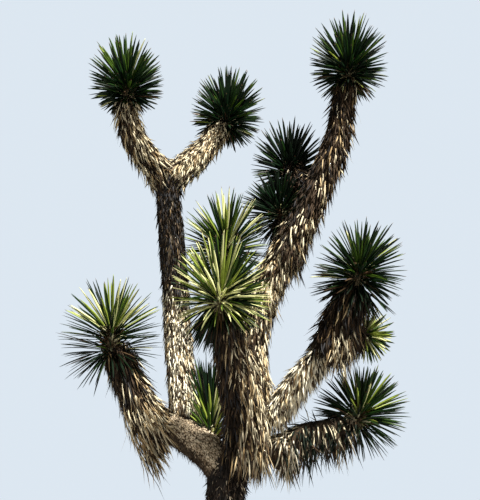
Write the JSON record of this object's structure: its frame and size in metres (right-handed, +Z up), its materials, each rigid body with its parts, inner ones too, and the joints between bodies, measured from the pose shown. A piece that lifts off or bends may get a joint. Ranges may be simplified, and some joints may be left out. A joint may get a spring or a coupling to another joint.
{
  "type": "potted tree yucca",
  "caption": "Tree yucca in a plain round pot: a short forked trunk, limbs thatched with dead leaves, and a head of stiff green leaves on every limb",
  "frame": {"origin": "centre of the pot's flat underside, on the floor", "axes": "+Z up, the crown's widest spread along X, the side that the picture shows towards -Y"},
  "size_m": [2.419, 1.8178, 4.9507],
  "materials": {
    "pot": "matt fired clay",
    "soil": "gritty loam",
    "bark": "corky bark",
    "thatch": "dry leaves",
    "leaf": "waxy leaves"
  },
  "bodies": {
    "root": {"pot": "pot", "soil": "soil", "trunk": "bark", "left_bough": "bark", "left_stem": "bark", "top_left_arm": "bark", "inner_left_arm": "bark", "low_left_arm": "bark", "right_bough": "bark", "centre_stem": "bark", "centre_back_arm": "bark", "low_right_arm": "bark", "mid_right_arm": "bark", "mid_right_shoot": "bark", "behind_arm": "bark", "inner_arm": "bark", "bough_shoot": "bark", "left_stem_thatch": "thatch", "right_lower_thatch": "thatch", "right_upper_thatch": "thatch", "centre_thatch": "thatch", "top_left_thatch": "thatch", "inner_left_thatch": "thatch", "low_left_thatch": "thatch", "centre_back_thatch": "thatch", "low_right_thatch": "thatch", "mid_right_thatch": "thatch", "mid_right_skirt": "thatch", "behind_thatch": "thatch", "inner_thatch": "thatch", "top_left_head": "leaf", "inner_left_head": "leaf", "right_top_head": "leaf", "behind_head": "leaf", "centre_head": "leaf", "centre_back_head": "leaf", "inner_head": "leaf", "low_left_head": "leaf", "mid_right_head": "leaf", "mid_right_small_head": "leaf", "low_right_head": "leaf", "bough_head": "leaf"}
  },
  "joints": []
}
